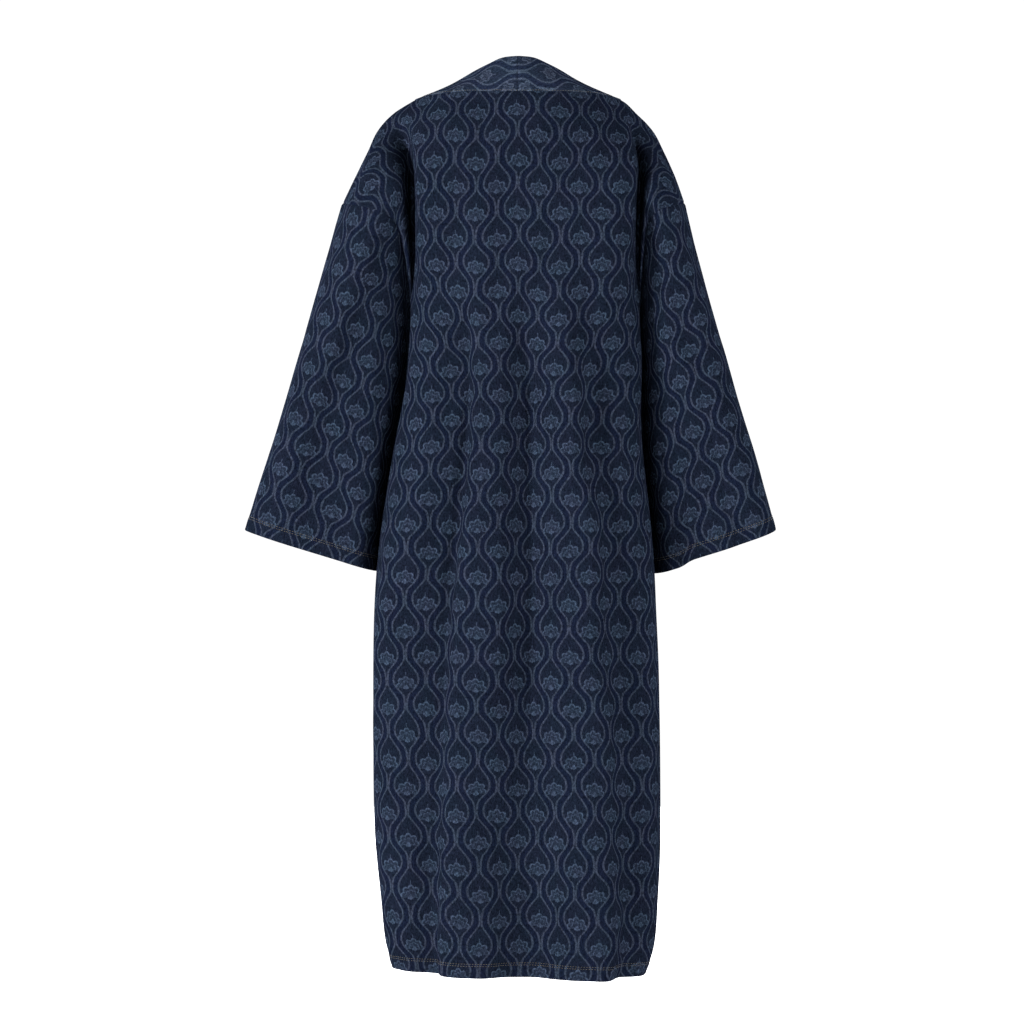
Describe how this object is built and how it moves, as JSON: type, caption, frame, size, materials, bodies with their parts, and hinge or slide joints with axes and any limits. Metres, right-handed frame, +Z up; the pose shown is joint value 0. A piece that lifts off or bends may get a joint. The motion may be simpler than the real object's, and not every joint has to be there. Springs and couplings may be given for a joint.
{
  "type": "kimono",
  "caption": "Long open kimono robe with wide straight sleeves, dropped shoulders and a band collar that runs down both front edges.",
  "frame": {"origin": "between the shoulders, level with the wearer's shoulder line, where the wearer holds the robe up", "axes": "+Z up towards the neck, +X towards the wearer's left, +Y towards the wearer's back"},
  "size_m": [0.7379, 0.2576, 1.2636],
  "materials": {
    "denim": "matt woven denim",
    "collar_denim": "matt woven denim"
  },
  "bodies": {
    "root": {"back": "denim", "front_left": "denim", "front_right": "denim", "sleeve_left": "denim", "sleeve_right": "denim", "collar_left": "collar_denim", "collar_right": "collar_denim"}
  },
  "joints": []
}
